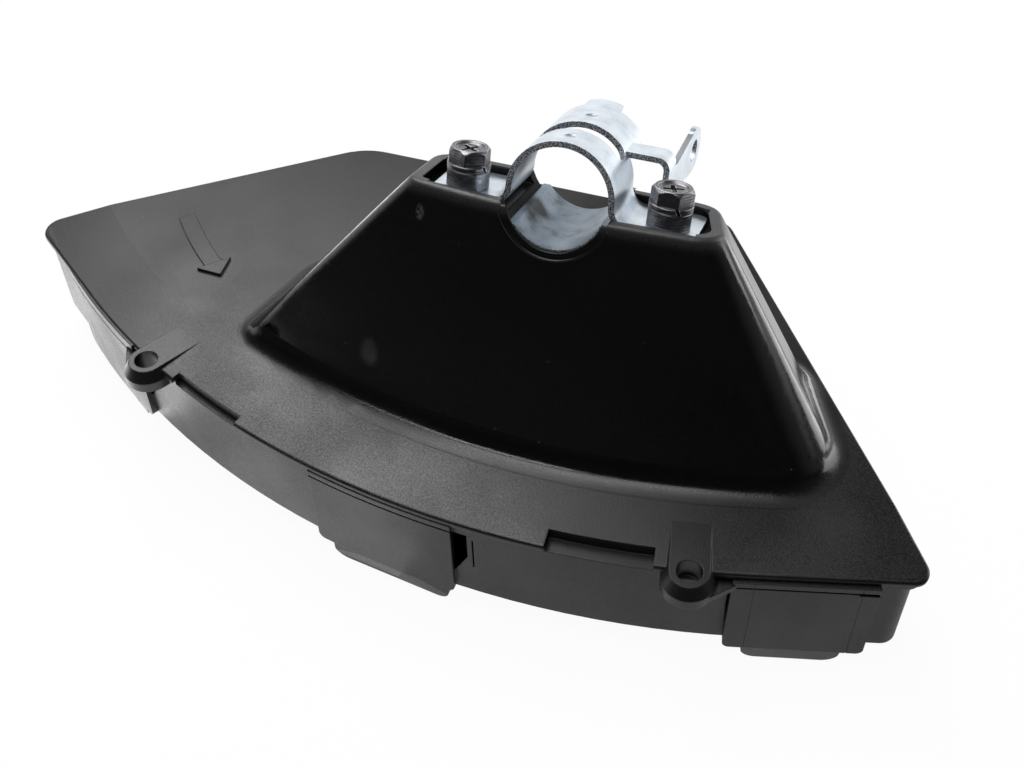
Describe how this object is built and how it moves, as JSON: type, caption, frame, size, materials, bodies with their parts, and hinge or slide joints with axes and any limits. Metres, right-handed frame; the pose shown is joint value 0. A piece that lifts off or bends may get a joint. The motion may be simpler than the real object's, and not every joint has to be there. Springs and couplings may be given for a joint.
{
  "type": "trimmer blade guard",
  "caption": "Moulded fan-shaped blade guard with a skirted rim and a hollow boss that carries a bolted sheet-steel clamp for a trimmer's shaft tube.",
  "frame": {"origin": "middle of the clamped bore, on its axis", "axes": "+Z along the blade's axis away from the blade, -Y towards the rim, +X to the right seen from the rim"},
  "size_m": [0.2955, 0.1471, 0.1211],
  "materials": {
    "black_moulding": "moulded black polypropylene, fine texture",
    "zinc_sheet": "pressed sheet steel, bright zinc plated",
    "dark_steel": "turned and cold-headed steel, black oxide"
  },
  "bodies": {
    "root": {"guard_shield": "black_moulding", "clamp_cap": "zinc_sheet", "clamp_saddle": "zinc_sheet", "left_spacer_collar": "dark_steel", "right_spacer_collar": "dark_steel", "left_spring_washer": "dark_steel", "right_spring_washer": "dark_steel", "left_clamp_bolt": "dark_steel", "right_clamp_bolt": "dark_steel", "left_clamp_nut": "dark_steel", "right_clamp_nut": "dark_steel"}
  },
  "joints": []
}
